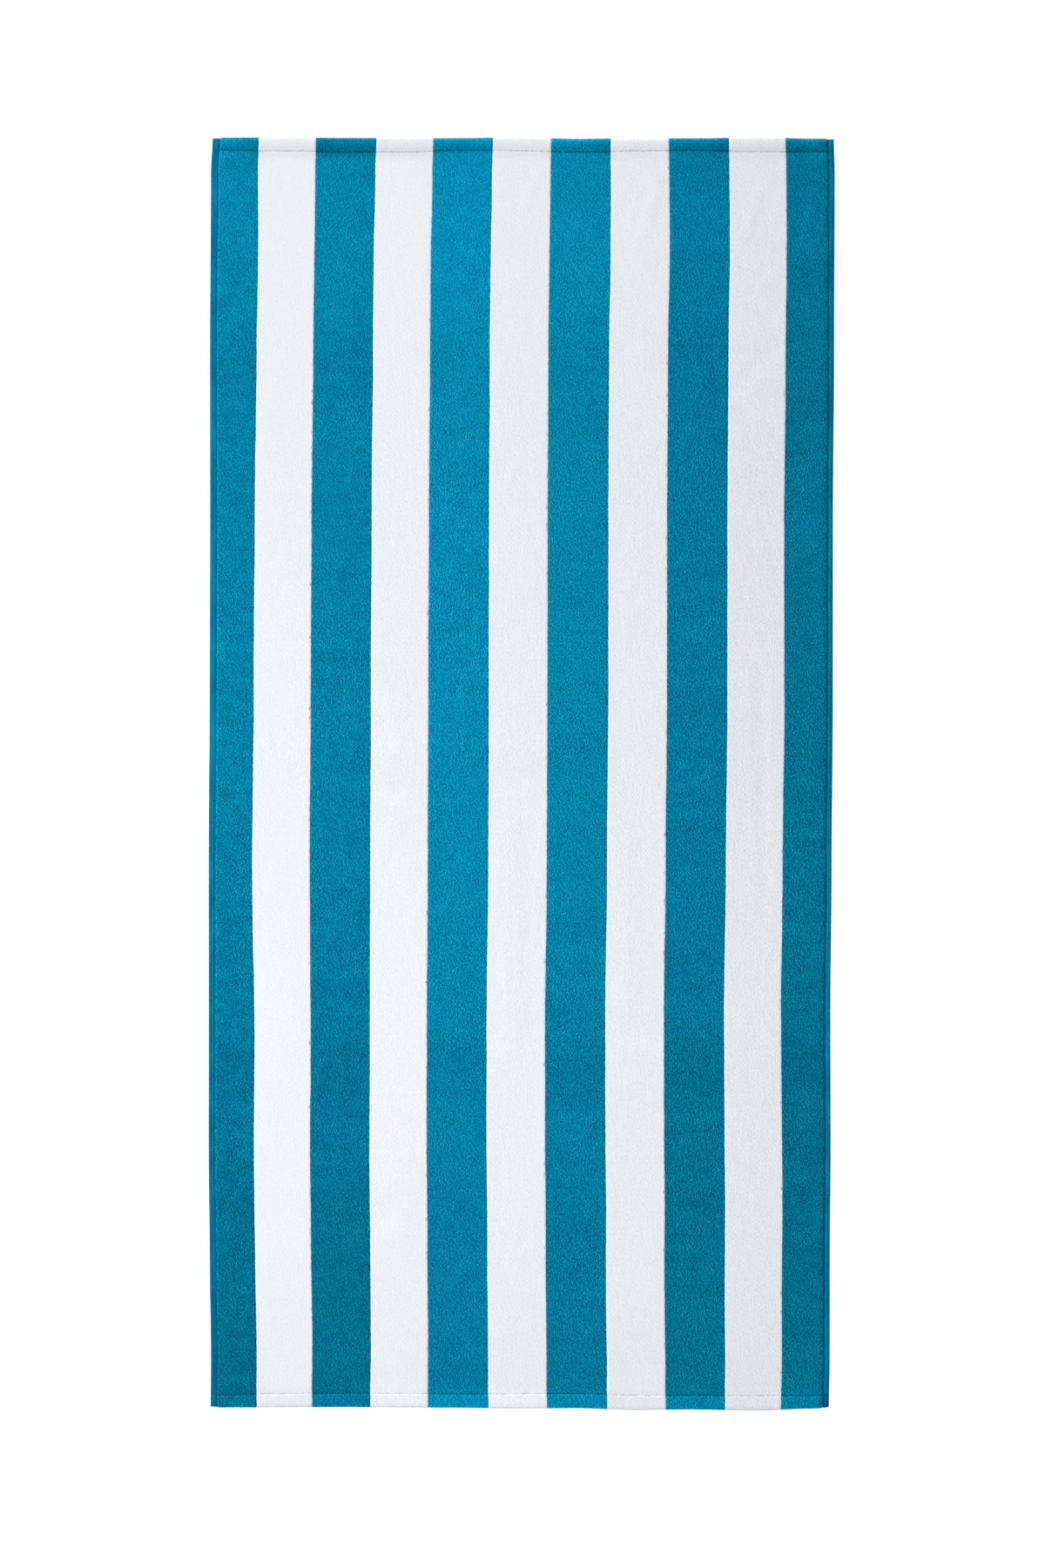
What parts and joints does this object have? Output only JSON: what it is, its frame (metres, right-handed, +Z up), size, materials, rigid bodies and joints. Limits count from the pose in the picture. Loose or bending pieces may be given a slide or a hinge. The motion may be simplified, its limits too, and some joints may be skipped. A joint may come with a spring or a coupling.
{
  "type": "beach towel",
  "caption": "Rectangular terry beach towel lying flat, with lengthwise blue and white stripes, a turned and stitched hem at each end and a flat-woven band along each side.",
  "frame": {"origin": "centre of the towel's footprint, on the ground it lies on", "axes": "+Z up out of the face, +Y along the length towards the end at the top of the picture, +X across the width towards the picture's right"},
  "size_m": [0.7552, 1.535, 0.0061],
  "materials": {
    "blue_terry": "matt dyed cotton terry",
    "white_terry": "matt bleached cotton terry",
    "flat_weave": "matt ribbed ground weave without pile",
    "sewing_thread": "matt spun thread"
  },
  "bodies": {
    "root": {"towel_cloth": "blue_terry"}
  },
  "joints": []
}
